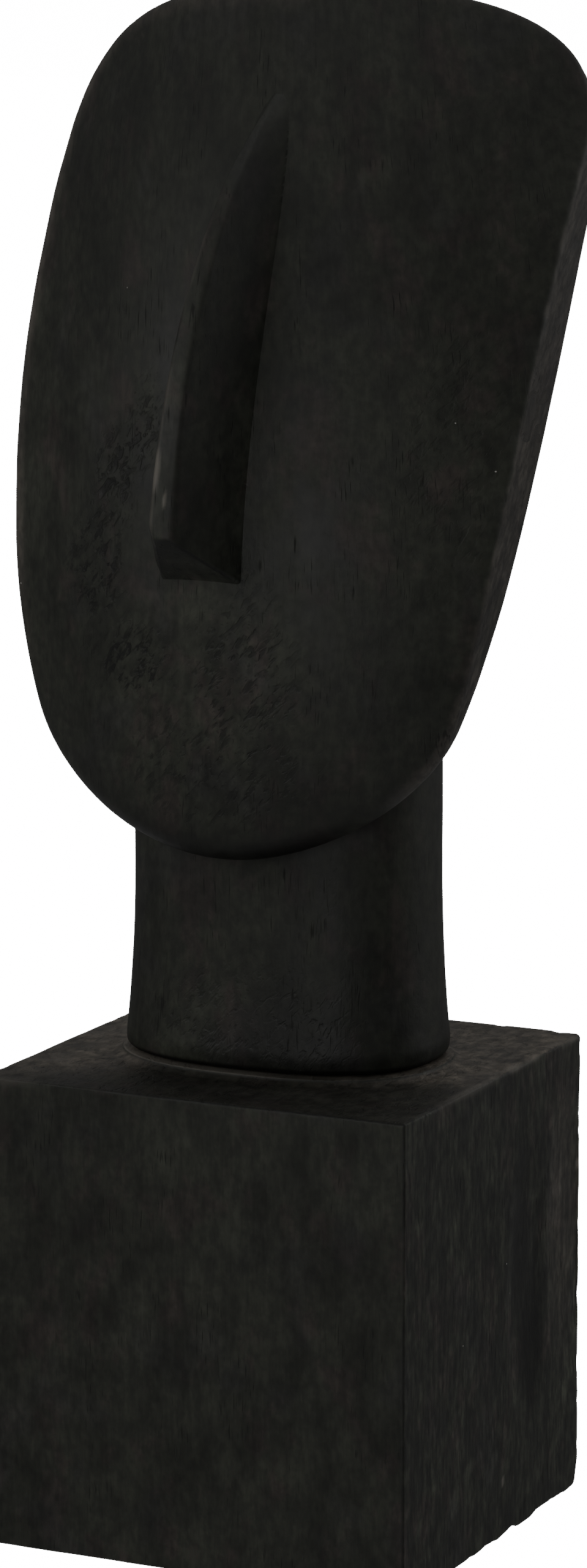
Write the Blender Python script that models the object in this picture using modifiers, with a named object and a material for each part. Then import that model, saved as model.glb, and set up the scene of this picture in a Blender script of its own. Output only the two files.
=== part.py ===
"""A carved wooden head on a block, all of it stained black.

The head is one carving: a leaning, bowed face shaped like a shield, a long nose, and an oval
neck that runs up the back as a nape. It rests on a block with a low oval seat.
Lengths are in metres and +Z is up. The face looks towards -Y, and the origin is at the centre
of the block's underside.
"""
import math

import bpy
from mathutils import Vector
from mathutils.geometry import interpolate_bezier

# Block
BLOCK_WIDTH = 0.150
BLOCK_DEPTH = 0.141
BLOCK_HEIGHT = 0.1563
BLOCK_ARRIS = 0.0012
SEAT_HEIGHT = 0.0018
SEAT_MARGIN = 0.0010
REST_GAP = 0.0003

# Neck, an oval column that stands on the seat
NECK_WIDTH = 0.1020
NECK_DEPTH = 0.0720
NECK_HEIGHT = 0.0685
NECK_OFFSET = 0.0015
NECK_SQUARENESS = 2.4
FOOT_FLARE = 0.0031
FOOT_FLARE_HEIGHT = 0.060
FOOT_ROUNDING = 0.0026
NAPE_SINK = 0.0180
NAPE_ROOT = 0.0280

# Face, from the chin's lowest point to the crown's highest
FACE_HEIGHT = 0.2766
FACE_WIDTH = 0.1846
FACE_FRONT = 0.0655
FACE_LEAN = 0.0873
FACE_BOW = 0.0440
FACE_EDGE = 0.0016
CHIN_ROUNDING = 0.0085
BACK_REACH = 0.0275
BACK_LEAN = 0.0995
BACK_CROWN = 0.0015
BACK_EDGE = 0.0026
JAW_BACK_EDGE = 0.0200

# Nose, measured square to the front
NOSE_WIDTH = 0.0302
NOSE_RELIEF = 0.0272
NOSE_RIDGE = 0.0078
NOSE_ROUNDING = 0.0024
NOSE_SINK = 0.0060
UNDERSIDE_RISE = 0.0150

# Proportions of the face, as shares of its height from chin to crown
FOREMOST_AT = 0.2925
BACK_TURN_AT = -0.1417
NOSE_FOOT_AT = 0.342
NOSE_ROOT_AT = 0.880
CHIN_SOFT_TO = 0.40
SPINE_LOW_AT = 0.27
SPINE_HIGH_AT = 0.78
NAPE_START_AT = 0.072
NAPE_END_AT = 0.640
NAPE_TAPER = 0.72

# How fast each shape changes along its run
NAPE_LEAN_POWER = 2.6
NAPE_TAPER_POWER = 2.4
NOSE_RELIEF_POWER = 4
NOSE_SPACING_POWER = 0.8

# Largest shares that a rounding may take of what it is cut from
FRONT_EDGE_SHARE = 0.35
BACK_EDGE_SHARE = 0.60
RIDGE_SHARE = 0.55
RIDGE_ROUNDING_SHARE = 0.90
RELIEF_ROUNDING_SHARE = 0.40

# How finely the lofts are cut
OUTLINE_STEPS = (11, 12, 15)
FACE_RINGS = 8
BACK_RINGS = 6
EDGE_STEPS = 3
NECK_SIDES = 40
FLARE_STEPS = (0.2, 0.45, 0.7, 1.0)
NAPE_STEPS = 9
NOSE_STEPS = 16
NOSE_LAST_SHARE = 0.995
FLANK_STEPS = (0.35, 0.7, 1.0)
THROUGH_TRIES = 20

SEAT_TOP = BLOCK_HEIGHT + SEAT_HEIGHT
FOOT_Z = SEAT_TOP + REST_GAP
CHIN_Z = FOOT_Z + NECK_HEIGHT
CROWN_Z = CHIN_Z + FACE_HEIGHT
HALF_FACE = FACE_WIDTH / 2
FOREMOST_Z = CHIN_Z + FOREMOST_AT * FACE_HEIGHT
BACK_TURN_Z = CHIN_Z + BACK_TURN_AT * FACE_HEIGHT


def clear_scene():
    """Removes whatever the file holds, so that the model stands alone."""
    for obj in list(bpy.data.objects):
        bpy.data.objects.remove(obj, do_unlink=True)


def add_collection(name):
    """Adds a collection under the scene."""
    collection = bpy.data.collections.new(name)
    bpy.context.scene.collection.children.link(collection)
    return collection


def add_material(name, colour, roughness):
    """Makes a plain stained-wood material."""
    material = bpy.data.materials.new(name)
    material.use_nodes = True
    shader = material.node_tree.nodes["Principled BSDF"]
    shader.inputs["Base Color"].default_value = (*colour, 1.0)
    shader.inputs["Roughness"].default_value = roughness
    shader.inputs["Metallic"].default_value = 0.0
    return material


def mesh_object(name, points, faces, collection):
    """Makes an object from points and faces, and links it."""
    mesh = bpy.data.meshes.new(name)
    mesh.from_pydata([tuple(point) for point in points], [], faces)
    mesh.validate()
    obj = bpy.data.objects.new(name, mesh)
    collection.objects.link(obj)
    return obj


def mark_as_tool(obj):
    """Keeps a shape that is only joined to another out of the renders."""
    obj.hide_render = True
    obj.display_type = "WIRE"


def join(target, tool):
    """Unites a shape with the target."""
    union = target.modifiers.new("join_" + tool.name, "BOOLEAN")
    union.operation = "UNION"
    union.solver = "EXACT"
    union.object = tool


def smooth(obj, angle=35.0):
    """Shades the soft surfaces smooth and keeps the carved edges sharp."""
    obj.data.shade_smooth()
    obj.data.set_sharp_from_angle(angle=math.radians(angle))


def loft(name, sections, collection):
    """Closes a row of rings, each a list of the same number of points, with a cap at both ends."""
    count = len(sections[0])
    points = [point for section in sections for point in section]
    faces = []
    for row in range(len(sections) - 1):
        for i in range(count):
            j = (i + 1) % count
            low = row * count
            high = low + count
            faces.append((low + i, low + j, high + j, high + i))
    last = (len(sections) - 1) * count
    faces.append(tuple(reversed(range(count))))
    faces.append(tuple(last + i for i in range(count)))
    return mesh_object(name, points, faces, collection)


def oval(half_width, front, back, z):
    """One ring of the neck or seat at height z, a superellipse between two depths."""
    power = 2.0 / NECK_SQUARENESS
    middle = (front + back) / 2
    half_depth = (back - front) / 2
    ring = []
    for i in range(NECK_SIDES):
        angle = 2 * math.pi * i / NECK_SIDES
        across = math.copysign(abs(math.cos(angle)) ** power, math.cos(angle))
        along = math.copysign(abs(math.sin(angle)) ** power, math.sin(angle))
        ring.append(Vector((half_width * across, middle + half_depth * along, z)))
    return ring


def face_front(x, z):
    """Depth of the face's bowed front at a point across and up."""
    lean = FACE_LEAN * ((z - FOREMOST_Z) / (CROWN_Z - FOREMOST_Z)) ** 2
    return -FACE_FRONT + lean + FACE_BOW * (x / HALF_FACE) ** 2


def face_back(x, z):
    """Depth of the face's flatter back."""
    lean = BACK_LEAN * ((z - BACK_TURN_Z) / (CROWN_Z - BACK_TURN_Z)) ** 2
    return -BACK_REACH + lean + BACK_CROWN * (1 - (x / HALF_FACE) ** 2)


def face_outline():
    """Half of the face's outline from the chin to the crown, with its outward directions.

    Each knot is given as shares of the half width and of the height, with the shares that
    its two handles reach.
    """
    def place(across, up):
        return Vector((across * HALF_FACE, 0.0, CHIN_Z + up * FACE_HEIGHT))

    knots = (
        (place(0.0, 0.0), None, place(0.33, 0.0)),
        (place(0.790, 0.162), place(0.705, 0.077), place(0.945, 0.320)),
        (place(1.0, 0.815), place(1.0, 0.600), place(1.0, 0.980)),
        (place(0.0, 1.0), place(0.50, 1.0), None),
    )
    outline = []
    for start, end, steps in zip(knots, knots[1:], OUTLINE_STEPS):
        run = interpolate_bezier(start[0], start[2], end[1], end[0], steps + 1)
        outline.extend(run if not outline else run[1:])
    outward = []
    for i in range(len(outline)):
        before = outline[max(i - 1, 0)]
        after = outline[min(i + 1, len(outline) - 1)]
        tangent = (after - before).normalized()
        outward.append(Vector((tangent.z, 0.0, -tangent.x)))
    outward[0] = Vector((0.0, 0.0, -1.0))
    outward[-1] = Vector((0.0, 0.0, 1.0))
    return outline, outward


def softened(above, at_chin, z):
    """Radius of an edge of the face: one value above, growing to another round the chin."""
    share = min((z - CHIN_Z) / (CHIN_SOFT_TO * FACE_HEIGHT), 1.0)
    return above + (at_chin - above) * (1 - share) ** 2


def through_to_back(front_corner):
    """Follows the side of the face, square to its lean, from the front's edge to the back."""
    slope = 2 * FACE_LEAN * (front_corner.z - FOREMOST_Z) / (CROWN_Z - FOREMOST_Z) ** 2
    way = Vector((0.0, 1.0, -slope)).normalized()
    reach = 0.0
    for _ in range(THROUGH_TRIES):
        place = front_corner + way * reach
        reach += face_back(place.x, place.z) - place.y
    return front_corner + way * reach


def corner(first, middle, last):
    """Points round a corner, without its first one."""
    run = []
    for step in range(1, EDGE_STEPS + 1):
        t = step / EDGE_STEPS
        run.append(first * (1 - t) ** 2 + middle * 2 * t * (1 - t) + last * t * t)
    return run


def face_column(rim, outward, spine_z):
    """One run of points from the spine over the front, round the edge and back to the spine."""
    def inset(place, depth):
        return Vector((max(place.x - outward.x * depth, 0.0), 0.0, place.z - outward.z * depth))

    def on(surface, place):
        return Vector((place.x, surface(place.x, place.z), place.z))

    def between(place, share):
        return Vector((place.x * share, 0.0, spine_z + (place.z - spine_z) * share))

    front_corner = on(face_front, rim)
    back_corner = through_to_back(front_corner)
    way = back_corner - front_corner
    thickness = way.length
    way.normalize()
    front_radius = min(softened(FACE_EDGE, CHIN_ROUNDING, rim.z), FRONT_EDGE_SHARE * thickness)
    back_radius = min(softened(BACK_EDGE, JAW_BACK_EDGE, rim.z), BACK_EDGE_SHARE * thickness)
    front_inner = inset(front_corner, front_radius)
    back_inner = inset(back_corner, back_radius)
    column = []
    for ring in range(FACE_RINGS + 1):
        column.append(on(face_front, between(front_inner, ring / FACE_RINGS)))
    side_start = front_corner + way * front_radius
    side_end = back_corner - way * back_radius
    column += corner(column[-1], front_corner, side_start)
    column.append(side_end)
    column += corner(side_end, back_corner, on(face_back, back_inner))
    for ring in range(BACK_RINGS - 1, -1, -1):
        column.append(on(face_back, between(back_inner, ring / BACK_RINGS)))
    return column


def build_face(collection):
    """The leaning shield of the face, half of it lofted and then mirrored."""
    outline, outward = face_outline()
    spine_low = CHIN_Z + SPINE_LOW_AT * FACE_HEIGHT
    spine_high = CHIN_Z + SPINE_HIGH_AT * FACE_HEIGHT
    columns = []
    for i, (rim, direction) in enumerate(zip(outline, outward)):
        share = i / (len(outline) - 1)
        columns.append(face_column(rim, direction, spine_low + share * (spine_high - spine_low)))
    length = len(columns[0])
    points = [point for column in columns for point in column]
    faces = []
    for i in range(len(columns) - 1):
        for j in range(length - 1):
            here = i * length + j
            beyond = here + length
            faces.append((here, beyond, beyond + 1, here + 1))
    face = mesh_object("head", points, faces, collection)
    mirror = face.modifiers.new("other_half", "MIRROR")
    mirror.use_axis = (True, False, False)
    mirror.use_clip = True
    mirror.merge_threshold = 0.00002
    return face


def build_neck(collection):
    """The oval neck, from its rounded foot to the nape that runs into the face's back."""
    half_width = NECK_WIDTH / 2
    front = NECK_OFFSET - NECK_DEPTH / 2
    back = NECK_OFFSET + NECK_DEPTH / 2
    nape_start = CHIN_Z + NAPE_START_AT * FACE_HEIGHT
    nape_end = CHIN_Z + NAPE_END_AT * FACE_HEIGHT
    nape_end_back = face_back(0.0, nape_end) - NAPE_SINK

    def ring(z, grow):
        return oval(half_width + grow, front - grow, back + grow, z)

    def foot_ring(share):
        angle = share * math.pi / 2
        z = FOOT_Z + FOOT_ROUNDING * (1 - math.cos(angle))
        return ring(z, FOOT_FLARE - FOOT_ROUNDING * (1 - math.sin(angle)))

    def flared_ring(share):
        z = FOOT_Z + FOOT_ROUNDING + share * (FOOT_FLARE_HEIGHT - FOOT_ROUNDING)
        return ring(z, FOOT_FLARE * (1 - share) ** 2)

    def nape_ring(share):
        z = nape_start + share * (nape_end - nape_start)
        nape_back = back + (nape_end_back - back) * share ** NAPE_LEAN_POWER
        nape_front = max(front, face_back(0.0, z) - NAPE_ROOT)
        nape_half = half_width * (1 - NAPE_TAPER * share ** NAPE_TAPER_POWER)
        return oval(nape_half, nape_front, nape_back, z)

    sections = [foot_ring(i / EDGE_STEPS) for i in range(EDGE_STEPS + 1)]
    sections += [flared_ring(share) for share in FLARE_STEPS]
    sections += [nape_ring(i / NAPE_STEPS) for i in range(NAPE_STEPS + 1)]
    neck = loft("neck", sections, collection)
    mark_as_tool(neck)
    return neck


def nose_section(share):
    """One slanting section through the nose, from its foot (0) to its root (1)."""
    foot_z = CHIN_Z + NOSE_FOOT_AT * FACE_HEIGHT
    root_z = CHIN_Z + NOSE_ROOT_AT * FACE_HEIGHT
    base_z = foot_z + share * (root_z - foot_z)
    rise = UNDERSIDE_RISE * (1 - share)
    relief = NOSE_RELIEF * (1 - share ** NOSE_RELIEF_POWER)
    half_base = NOSE_WIDTH / 2 * math.sqrt(1 - share ** 2)
    half_ridge = min(NOSE_RIDGE / 2, half_base * RIDGE_SHARE)
    rounding = min(
        NOSE_ROUNDING, half_ridge * RIDGE_ROUNDING_SHARE, relief * RELIEF_ROUNDING_SHARE
    )
    ridge = Vector((half_ridge, relief))
    base = Vector((half_base, 0.0))
    down = (base - ridge).normalized()
    start = ridge - Vector((rounding, 0.0))
    end = ridge + down * rounding
    profile = [Vector((0.0, relief)), start]
    profile += [(start + ridge * 2 + end) / 4, end]
    profile += [end.lerp(base, step) for step in FLANK_STEPS]
    profile.append(Vector((half_base, -NOSE_SINK)))
    mirrored = [Vector((-point.x, point.y)) for point in reversed(profile[1:])]
    section = []
    for point in mirrored + profile:
        z = base_z + rise * max(point.y, 0.0) / NOSE_RELIEF
        section.append(Vector((point.x, face_front(point.x, z) - point.y, z)))
    return section


def build_nose(collection):
    """The long nose, a wedge with a flat ridge that narrows into the forehead."""
    shares = [(i / NOSE_STEPS) ** NOSE_SPACING_POWER for i in range(NOSE_STEPS + 1)]
    sections = [nose_section(NOSE_LAST_SHARE * share) for share in shares]
    nose = loft("nose", sections, collection)
    mark_as_tool(nose)
    return nose


def build_head(parts, tools, material):
    """Face, neck and nose, carved as one piece."""
    head = build_face(parts)
    join(head, build_neck(tools))
    join(head, build_nose(tools))
    head.data.materials.append(material)
    smooth(head)
    return head


def build_plinth(parts, tools, material):
    """The block, with the low seat that the neck stands on."""
    bpy.ops.mesh.primitive_cube_add(size=1.0, location=(0.0, 0.0, BLOCK_HEIGHT / 2))
    plinth = bpy.context.active_object
    plinth.name = "plinth"
    plinth.scale = (BLOCK_WIDTH, BLOCK_DEPTH, BLOCK_HEIGHT)
    bpy.ops.object.transform_apply(location=False, rotation=False, scale=True)
    for collection in list(plinth.users_collection):
        collection.objects.unlink(plinth)
    parts.objects.link(plinth)
    arris = plinth.modifiers.new("worn_arris", "BEVEL")
    arris.width = BLOCK_ARRIS
    arris.segments = 2
    grow = FOOT_FLARE + SEAT_MARGIN
    half_width = NECK_WIDTH / 2 + grow
    front = NECK_OFFSET - NECK_DEPTH / 2 - grow
    back = NECK_OFFSET + NECK_DEPTH / 2 + grow
    root_depth = 4 * SEAT_HEIGHT
    levels = (BLOCK_HEIGHT - root_depth, SEAT_TOP)
    seat = loft("seat", [oval(half_width, front, back, z) for z in levels], tools)
    mark_as_tool(seat)
    join(plinth, seat)
    plinth.data.materials.append(material)
    return plinth


def main():
    """Builds the two pieces."""
    clear_scene()
    parts = add_collection("abstract_sculpture")
    tools = add_collection("shapes_to_join")
    stain = add_material("black_stained_wood", (0.013, 0.0125, 0.011), 0.55)
    block_stain = add_material("black_stained_block", (0.013, 0.0120, 0.010), 0.62)
    build_head(parts, tools, stain)
    build_plinth(parts, tools, block_stain)


main()
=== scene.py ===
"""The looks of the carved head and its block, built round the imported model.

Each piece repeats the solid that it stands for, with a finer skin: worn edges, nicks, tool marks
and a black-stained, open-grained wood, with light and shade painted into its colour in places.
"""

import math

import bpy
import numpy as np
from mathutils import Matrix, Vector


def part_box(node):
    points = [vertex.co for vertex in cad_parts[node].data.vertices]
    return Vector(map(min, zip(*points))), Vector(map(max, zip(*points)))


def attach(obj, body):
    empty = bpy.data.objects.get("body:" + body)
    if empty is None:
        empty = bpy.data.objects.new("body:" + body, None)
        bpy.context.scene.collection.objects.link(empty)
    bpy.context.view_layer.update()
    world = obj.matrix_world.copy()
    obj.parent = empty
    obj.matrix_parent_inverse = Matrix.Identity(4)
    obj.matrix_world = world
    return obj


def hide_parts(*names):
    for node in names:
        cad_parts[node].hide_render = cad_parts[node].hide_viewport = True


# Block
BLOCK_WIDTH = 0.150
BLOCK_DEPTH = 0.141
BLOCK_HEIGHT = 0.1563
SEAT_HEIGHT = 0.0018
SEAT_MARGIN = 0.0010
SEAT_LIP = 0.0005
SEAT_SLOPE = ((0.0034, -0.0040), (0.0034, -0.0002), (0.0020, 0.0003), (0.0008, 0.0008))
REST_GAP = 0.0003

# Neck
NECK_WIDTH = 0.1020
NECK_DEPTH = 0.0720
NECK_HEIGHT = 0.0685
NECK_OFFSET = 0.0015
NECK_SQUARENESS = 2.4
FOOT_FLARE = 0.0031
FOOT_FLARE_HEIGHT = 0.060
FOOT_ROUNDING = 0.0026
NAPE_SINK = 0.0180
NAPE_ROOT = 0.0280

# Face, from the chin's lowest point to the crown's highest
FACE_HEIGHT = 0.2766
FACE_WIDTH = 0.1846
FACE_FRONT = 0.0655
FACE_LEAN = 0.0873
FACE_BOW = 0.0440
FACE_EDGE = 0.0016
BEVEL_WIDTH = 0.0044
BEVEL_DEPTH = 0.0017
CHIN_ROUNDING = 0.0085
BACK_REACH = 0.0275
BACK_LEAN = 0.0995
BACK_CROWN = 0.0015
BACK_EDGE = 0.0026
JAW_BACK_EDGE = 0.0200

# Nose, measured square to the front
NOSE_WIDTH = 0.0302
NOSE_RELIEF = 0.0272
NOSE_ROUNDING = 0.0014
RIGHT_ROUNDINGS = ((0.0, 0.12, 0.35), (0.0034, 0.0030, 0.0017))
NOSE_SINK = 0.0060
UNDERSIDE_RISE = 0.0165
NOSE_FOOT_EDGE = 0.0011
NOSE_FOOT_WEAR = 0.0026
NOSE_WEAR_SHARE = 0.045
NOSE_WIDTH_POWER = 3.3
NOSE_LEFT_TAPER = 0.1
RIDGE_HALVES = ((0.0, 0.12, 0.35, 0.60, 0.82, 0.92, 1.0),
                (0.0039, 0.0038, 0.0031, 0.0028, 0.0020, 0.0010, 0.0004))
RIDGE_SHIFTS = ((0.0, 0.60, 0.83, 1.0), (0.0, 0.0, -0.0011, -0.0003))

# Proportions of the face, as shares of its height from chin to crown
FOREMOST_AT = 0.2925
BACK_TURN_AT = -0.1417
NOSE_FOOT_AT = 0.342
NOSE_ROOT_AT = 0.880
CHIN_SOFT_TO = 0.40
SPINE_LOW_AT = 0.27
SPINE_HIGH_AT = 0.78
NAPE_START_AT = 0.072
NAPE_END_AT = 0.640
NAPE_TAPER = 0.72
NAPE_LEAN_POWER = 2.6
NAPE_TAPER_POWER = 2.4
NOSE_RELIEF_POWER = 4
FRONT_EDGE_SHARE = 0.35
BACK_EDGE_SHARE = 0.60
NOSE_LAST_SHARE = 0.995
RIDGE_ROUNDING_SHARE = 0.90
RELIEF_ROUNDING_SHARE = 0.40

# The face's outline from chin to crown, in shares of its half width and its height
OUTLINE_SPANS = (
    ((0.0, 0.0), (0.33, 0.0), (0.705, 0.077), (0.790, 0.162)),
    ((0.790, 0.162), (0.945, 0.320), (1.0, 0.600), (1.0, 0.815)),
    ((1.0, 0.815), (1.0, 0.980), (0.50, 1.0), (0.0, 1.0)),
)

SEAT_TOP = BLOCK_HEIGHT + SEAT_HEIGHT
SEAT_GROW = FOOT_FLARE + SEAT_MARGIN
FOOT_Z = SEAT_TOP + REST_GAP
HALF_NECK = NECK_WIDTH / 2
NECK_FRONT = NECK_OFFSET - NECK_DEPTH / 2
NECK_BACK = NECK_OFFSET + NECK_DEPTH / 2
CHIN_Z = FOOT_Z + NECK_HEIGHT
CROWN_Z = CHIN_Z + FACE_HEIGHT
HALF_FACE = FACE_WIDTH / 2
FOREMOST_Z = CHIN_Z + FOREMOST_AT * FACE_HEIGHT
BACK_TURN_Z = CHIN_Z + BACK_TURN_AT * FACE_HEIGHT

# How finely the pieces are cut
SPAN_POINTS = 200
OUTLINE_POINTS = 400
FRONT_RINGS = 56
BACK_RINGS = 16
EDGE_STEPS = 5
SIDE_STEPS = 9
NECK_SIDES = 150
FOOT_RINGS = 8
FLARE_RINGS = 34
STEM_RINGS = 26
NAPE_RINGS = 56
NOSE_SECTIONS = 120
NOSE_FLANK_STEPS = 12
BLOCK_STEP = 0.0015
ARRIS_STEPS = (0.0, 0.00025, 0.00045, 0.00065, 0.00085, 0.0011, 0.0016, 0.0023, 0.0032)
SEAT_LIP_STEPS = 4
THROUGH_TRIES = 40
WELD = 1e-6
SHARP_ANGLE = 50.0

# Noise and soft patches on the points
NOISE_VALUES = 4096
NOISE_SHIFT = 1000.0
LATTICE_KEYS = (73856093, 19349663, 83492791)
PATCH_CORE = 0.35

# Soft unevenness of all the wood
WAVE_DEPTH = 0.00010
RIPPLE_DEPTH = 0.00003

# Relief of the head's skin
CUT_DEPTH = 0.00032
TOOL_LEAN = 38.0
UNDERCUT_HEIGHT = 0.0065
UNDERCUT_DEPTH = 0.0005
UNDERCUT_MORE = 0.0014
UNDERCUT_TOWARDS = (0.62, -0.78)

# Share of a side's normal over which it counts as facing one way
FACING = (0.5, 0.9)

# Relief of the block's skin
ARRIS_RADIUS = 0.0007
CORNER_REACH = (0.004, 0.012)
FOOT_LIFT = 0.0012
HUMP = (0.0010, (0.075, 0.064, 0.092), (0.05, 0.026, 0.066))
HOLLOW = (0.0012, (0.075, 0.026, 0.080), (0.05, 0.018, 0.056))
DENT_DEPTH = 0.0011
EDGE_LINE_DEPTH = 0.00020
EDGE_LINE_WIDTH = 0.0011

# How the wood's grain follows the leaning face, and how strongly its fibres show
GRAIN_DRIFT = 0.48
HEAD_FIBRE = 0.13
SIDE_WALL_FIBRE = 0.55
BLOCK_FIBRE = 0.21
BLOCK_SIDE_FIBRE = 0.65
BLOCK_BAND_FIBRE = 0.28
BLOCK_TOP_FIBRE = 0.15

# Heights over which the painted highlight on the head's left rim comes in above the jaw
JAW_FADE = (0.270, 0.330)

# Soft patches, each (strength, centre, reach)
TOOL_MARKS = (
    (0.8, (-0.024, -0.050, 0.368), (0.011, 0.040, 0.022)),
    (1.0, (-0.034, -0.050, 0.348), (0.014, 0.040, 0.028)),
    (1.0, (-0.040, -0.055, 0.322), (0.018, 0.040, 0.026)),
    (1.0, (-0.026, -0.058, 0.294), (0.026, 0.040, 0.018)),
    (0.7, (0.014, -0.060, 0.290), (0.026, 0.050, 0.044)),
    (0.6, (0.000, -0.060, 0.262), (0.050, 0.050, 0.030)),
    (0.3, (0.074, -0.030, 0.362), (0.020, 0.060, 0.060)),
    (0.32, (0.004, -0.035, 0.172), (0.050, 0.030, 0.030)),
)
# Painted glints on the nose's ridge, mostly along its left edge
RIDGE_GLINTS = (
    (1.0, (-0.0031, -0.0862, 0.3590), (0.0017, 0.007, 0.0105)),
    (0.35, (-0.0034, -0.0890, 0.3440), (0.0012, 0.006, 0.0140)),
    (0.30, (-0.0030, -0.0800, 0.3800), (0.0013, 0.010, 0.0260)),
    (0.22, (-0.0028, -0.0600, 0.4200), (0.0013, 0.014, 0.0280)),
    (1.0, (0.0009, -0.0887, 0.3502), (0.0008, 0.008, 0.0034)),
)
# Painted light: lighter patches under the nose, over the chin and on the right cheek
PAINTED_LIGHT_PATCHES = (
    (0.34, (-0.004, -0.065, 0.314), (0.018, 0.030, 0.010)),
    (0.20, (-0.006, -0.062, 0.286), (0.064, 0.050, 0.052)),
    (0.16, (0.068, -0.030, 0.350), (0.040, 0.050, 0.070)),
    (0.10, (0.020, -0.050, 0.335), (0.020, 0.050, 0.060)),
)
DARKER_STAIN = (
    (0.14, (0.033, -0.011, 0.454), (0.010, 0.020, 0.009)),
    (0.14, (0.045, -0.016, 0.438), (0.012, 0.020, 0.008)),
    (0.18, (0.029, -0.033, 0.418), (0.010, 0.020, 0.008)),
    (0.18, (0.037, -0.036, 0.407), (0.008, 0.020, 0.010)),
    (0.16, (-0.038, -0.050, 0.325), (0.016, 0.040, 0.040)),
    (0.14, (-0.028, -0.050, 0.358), (0.014, 0.040, 0.026)),
    (0.15, (-0.034, -0.058, 0.296), (0.024, 0.040, 0.012)),
    (0.10, (-0.050, 0.000, 0.450), (0.060, 0.050, 0.050)),
)
BLOCK_NICKS = (
    (1.0, (0.075, 0.0700, 0.1120), (0.003, 0.003, 0.0022)),
    (0.9, (0.075, 0.0074, 0.0190), (0.003, 0.0018, 0.0017)),
)
# Painted shade in the wane's dip on the block's right, where its side turns from the light
PAINTED_SHADE_DIPS = (
    (0.52, (0.075, 0.031, 0.062), (0.05, 0.014, 0.034)),
    (0.44, (0.075, 0.023, 0.100), (0.05, 0.010, 0.048)),
)
# Painted highlight on a band behind that dip, where the side turns towards the light: hue, then
# tone
PAINTED_LIGHT_BAND = (1.0, (0.075, 0.056, 0.100), (0.05, 0.018, 0.068))
PAINTED_LIGHT_BAND_TONE = (1.0, (0.075, 0.060, 0.090), (0.05, 0.022, 0.080))

# Colours of the stain, of what shows through it, and of painted light and shade
STAIN_DEEP = (0.0119, 0.0128, 0.0092, 1.0)
STAIN_THIN = (0.0150, 0.0161, 0.0118, 1.0)
STAIN_WARM = (0.0200, 0.0156, 0.0136, 1.0)
STAIN_COOL = (0.0136, 0.0134, 0.0128, 1.0)
# Rubbed-thin stain, also the hue of painted highlight on the head's rims and the block's right
STAIN_RUBBED_AND_LIT = (0.033, 0.028, 0.024, 1.0)
STAIN_ON_END_GRAIN = (0.071, 0.061, 0.049, 1.0)
# Pores, pits and gouges; also painted shade along the block's front edges
HOLE_AND_SHADE_COLOUR = (0.0028, 0.0029, 0.0022, 1.0)
# Bared wood, also the colour of painted glints and highlights
BARE_WOOD_AND_HIGHLIGHT = (0.115, 0.105, 0.090, 1.0)
DUST = (0.30, 0.29, 0.27, 1.0)
DUST_SPACING = 0.022
DUST_RADIUS = 0.00034
FLOOR_COLOUR = (0.86, 0.86, 0.86, 1.0)
WHITE = (1.0, 1.0, 1.0, 1.0)

# Heights of the bumps in the wood
PORE_BUMP = -0.00008
GOUGE_BUMP = -0.00034
PIT_BUMP = -0.00014
STREAK_BUMP = 0.00022
FLECK_BUMP = 0.00014

# Camera, fitted to the block's corners
LENS_MM = 140.0
SENSOR_MM = 36.0
CAMERA_AZIMUTH = 25.721
CAMERA_ELEVATION = 10.592
CAMERA_TARGET = (0.00256, 0.0, 0.24644)
CAMERA_DISTANCE = 1.977
CLIP_START = 0.05

# Light
BACKDROP = 16.0
FLOOR_GLOW = 16.0
AMBIENT_LEVEL = 0.115
AMBIENT_ABOVE = 0.42
AMBIENT_BELOW = 0.58
AMBIENT_TURN = 0.05
LIT_POINT = (0.0, 0.0, 0.28)
LAMPS = (
    ("key", (-1.5, -1.6, 1.1), (1.0, 1.4), 14.5),
    ("front_right", (0.5, -2.0, 0.5), (0.8, 1.0), 11.2),
    ("back_right", (1.4, 1.2, 0.9), (0.8, 1.4), 9.0),
    ("overhead", (0.0, 0.7, 2.0), (1.2, 1.2), 3.8),
)
FLOOR_SIZE = 12.0
FLOOR_DROP = -0.0002


# Noise on points

def value_noise(points, size, seed):
    """Smooth noise from -1 to 1 at each point; size is a lump's width, one or three numbers."""
    rng = np.random.default_rng(seed)
    table = rng.uniform(-1.0, 1.0, NOISE_VALUES)
    scaled = points / np.asarray(size, float) + NOISE_SHIFT
    cell = np.floor(scaled).astype(np.int64)
    part = scaled - cell
    part = part * part * (3.0 - 2.0 * part)
    total = np.zeros(len(points))
    for step in np.ndindex(2, 2, 2):
        key = np.bitwise_xor.reduce((cell + step) * LATTICE_KEYS, axis=1)
        weight = np.abs(1 - np.array(step) - part).prod(axis=1)
        total += weight * table[key % NOISE_VALUES]
    return total


def rise(low, high, value):
    """0 below low, 1 above high, and a smooth rise between them."""
    share = np.clip((value - low) / (high - low), 0.0, 1.0)
    return share * share * (3.0 - 2.0 * share)


def fall(low, high, value):
    """1 below low, 0 above high, and a smooth fall between them."""
    return 1.0 - rise(low, high, value)


def patch(points, centre, reach):
    """1 at the middle of a soft oval patch, falling to 0 at its reach along each axis."""
    away = (points - centre) / reach
    return fall(PATCH_CORE, 1.0, np.sqrt((away ** 2).sum(axis=1)))


def strongest(points, *patches):
    """The strongest of several soft patches, each given as (strength, centre, reach)."""
    marks = np.zeros(len(points))
    for strength, centre, reach in patches:
        marks = np.maximum(marks, strength * patch(points, centre, reach))
    return marks


# Face

def face_front(x, z):
    """Depth of the face's bowed front at a point across and up."""
    lean = FACE_LEAN * ((z - FOREMOST_Z) / (CROWN_Z - FOREMOST_Z)) ** 2
    return -FACE_FRONT + lean + FACE_BOW * (x / HALF_FACE) ** 2


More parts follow.
